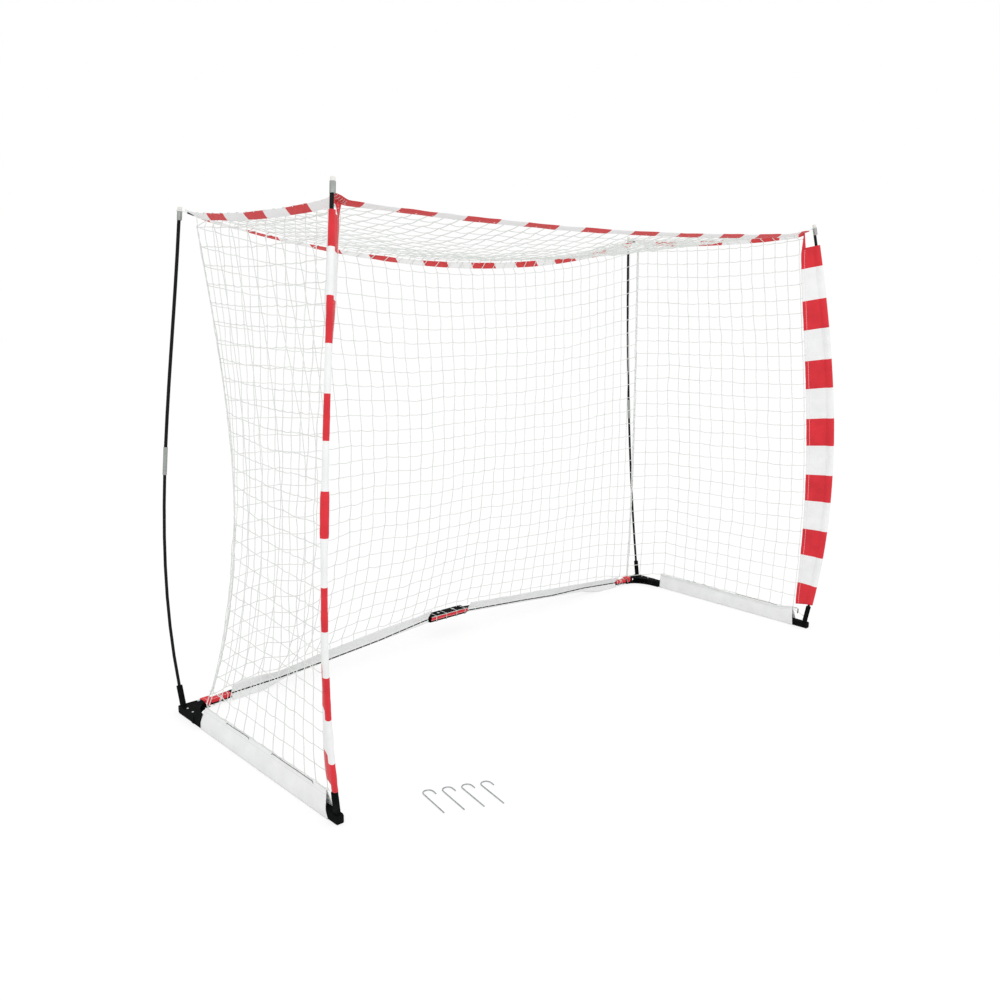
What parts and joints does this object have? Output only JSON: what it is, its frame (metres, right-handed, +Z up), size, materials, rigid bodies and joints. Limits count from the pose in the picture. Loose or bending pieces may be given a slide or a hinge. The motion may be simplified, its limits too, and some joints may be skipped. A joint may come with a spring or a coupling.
{
  "type": "folding handball goal",
  "caption": "Portable folding handball goal: steel base hinged at the rear corners and centre, sprung poles in leaning sockets, striped sleeves and strips, white net, loose ground pegs.",
  "frame": {"origin": "centre of the footprint, on the ground", "axes": "+X to the right seen from the mouth, +Y to the rear, +Z up"},
  "size_m": [3.1522, 1.5646, 2.1203],
  "materials": {
    "frame_steel": "satin black powder coat",
    "zinc": "zinc plated",
    "cap_plastic": "moulded, matt",
    "pole": "glass-fibre rod, matt black",
    "ferrule": "dull drawn tube",
    "red_cloth": "woven polyester with white stripes",
    "white_cloth": "woven polyester",
    "net_cord": "knotted white cord"
  },
  "bodies": {
    "left_frame": {"side_bar_left": "frame_steel", "corner_bracket_left": "frame_steel", "corner_pin_left": "zinc", "rivet_front_left": "zinc", "rivet_rear_left": "zinc", "end_cap_front_left": "cap_plastic", "end_cap_rear_left": "cap_plastic", "side_skirt_left": "white_cloth", "side_net_left": "net_cord", "side_strip_left": "red_cloth", "crossbar_strip": "red_cloth", "roof_net": "net_cord"},
    "rear_left": {"rear_bar_left": "frame_steel", "rear_skirt_left": "white_cloth", "corner_cover_left": "red_cloth", "back_net_left": "net_cord", "rear_strip_left": "red_cloth"},
    "centre": {"centre_bracket": "frame_steel", "centre_cover": "red_cloth", "centre_pin_left": "zinc", "centre_pin_right": "zinc"},
    "rear_right": {"rear_bar_right": "frame_steel", "rear_skirt_right": "white_cloth", "corner_cover_right": "red_cloth", "back_net_right": "net_cord", "rear_strip_right": "red_cloth"},
    "right_frame": {"side_bar_right": "frame_steel", "corner_bracket_right": "frame_steel", "corner_pin_right": "zinc", "rivet_front_right": "zinc", "rivet_rear_right": "zinc", "end_cap_front_right": "cap_plastic", "end_cap_rear_right": "cap_plastic", "side_skirt_right": "white_cloth", "side_net_right": "net_cord", "side_strip_right": "red_cloth"},
    "lower_front_left": {"lower_pole_front_left": "pole", "mid_ferrule_front_left": "ferrule", "sleeve_left": "red_cloth"},
    "lower_front_right": {"lower_pole_front_right": "pole", "mid_ferrule_front_right": "ferrule", "sleeve_right": "red_cloth"},
    "lower_rear_left": {"lower_pole_rear_left": "pole", "mid_ferrule_rear_left": "ferrule"},
    "lower_rear_right": {"lower_pole_rear_right": "pole", "mid_ferrule_rear_right": "ferrule"},
    "upper_front_left": {"upper_pole_front_left": "pole", "pole_tip_front_left": "ferrule"},
    "upper_front_right": {"upper_pole_front_right": "pole", "pole_tip_front_right": "ferrule"},
    "upper_rear_left": {"upper_pole_rear_left": "pole", "pole_tip_rear_left": "ferrule", "rear_strap_left": "red_cloth"},
    "upper_rear_right": {"upper_pole_rear_right": "pole", "pole_tip_rear_right": "ferrule", "rear_strap_right": "red_cloth"},
    "loose_peg_1": {"peg_1": "zinc"},
    "loose_peg_2": {"peg_2": "zinc"},
    "loose_peg_3": {"peg_3": "zinc"},
    "loose_peg_4": {"peg_4": "zinc"}
  },
  "joints": [
    {"name": "fold", "type": "hinge", "parent": "left_frame", "child": "rear_left", "pos_m": [-1.435, 0.6801, 0.0173], "axis": [0, 0, -1], "range_deg": [0, 85], "deforming": ["crossbar_strip", "roof_net", "back_net_left", "back_net_right", "rear_strip_left", "rear_strip_right", "rear_skirt_left", "rear_skirt_right"]},
    {"name": "fold_centre_left", "type": "hinge", "parent": "rear_left", "child": "centre", "pos_m": [-0.05, 0.7471, 0.0923], "axis": [0, 0, 1], "range_deg": [0, 85]},
    {"name": "fold_centre_right", "type": "hinge", "parent": "centre", "child": "rear_right", "pos_m": [0.05, 0.7471, 0.0923], "axis": [0, 0, 1], "range_deg": [0, 85]},
    {"name": "fold_right", "type": "hinge", "parent": "rear_right", "child": "right_frame", "pos_m": [1.435, 0.6801, 0.0173], "axis": [0, 0, -1], "range_deg": [0, 85]},
    {"name": "pull_pole_front_left", "type": "slide", "parent": "left_frame", "child": "lower_front_left", "axis": [-0.1591, -0.1031, 0.9819], "range_m": [0, 0.08]},
    {"name": "pull_pole_front_right", "type": "slide", "parent": "right_frame", "child": "lower_front_right", "axis": [0.1591, -0.1031, 0.9819], "range_m": [0, 0.08]},
    {"name": "pull_pole_rear_left", "type": "slide", "parent": "left_frame", "child": "lower_rear_left", "axis": [-0.0539, 0.1902, 0.9803], "range_m": [0, 0.08]},
    {"name": "pull_pole_rear_right", "type": "slide", "parent": "right_frame", "child": "lower_rear_right", "axis": [0.0539, 0.1902, 0.9803], "range_m": [0, 0.08]},
    {"name": "part_pole_front_left", "type": "slide", "parent": "lower_front_left", "child": "upper_front_left", "axis": [0.0735, 0.0434, 0.9964], "range_m": [0, 0.04]},
    {"name": "part_pole_front_right", "type": "slide", "parent": "lower_front_right", "child": "upper_front_right", "axis": [-0.0735, 0.0434, 0.9964], "range_m": [0, 0.04]},
    {"name": "part_pole_rear_left", "type": "slide", "parent": "lower_rear_left", "child": "upper_rear_left", "axis": [0.0963, -0.002, 0.9953], "range_m": [0, 0.04]},
    {"name": "part_pole_rear_right", "type": "slide", "parent": "lower_rear_right", "child": "upper_rear_right", "axis": [-0.0963, -0.002, 0.9953], "range_m": [0, 0.04]},
    {"name": "lift_peg_1", "type": "slide", "parent": "left_frame", "child": "loose_peg_1", "axis": [0, 0, 1], "range_m": [0, 0.15]},
    {"name": "lift_peg_2", "type": "slide", "parent": "left_frame", "child": "loose_peg_2", "axis": [0, 0, 1], "range_m": [0, 0.15]},
    {"name": "lift_peg_3", "type": "slide", "parent": "left_frame", "child": "loose_peg_3", "axis": [0, 0, 1], "range_m": [0, 0.15]},
    {"name": "lift_peg_4", "type": "slide", "parent": "left_frame", "child": "loose_peg_4", "axis": [0, 0, 1], "range_m": [0, 0.15]}
  ],
  "couplings": [
    {"joint": "fold_centre_left", "follows": "fold", "ratio": 1},
    {"joint": "fold_centre_right", "follows": "fold", "ratio": 1},
    {"joint": "fold_right", "follows": "fold", "ratio": 1}
  ]
}
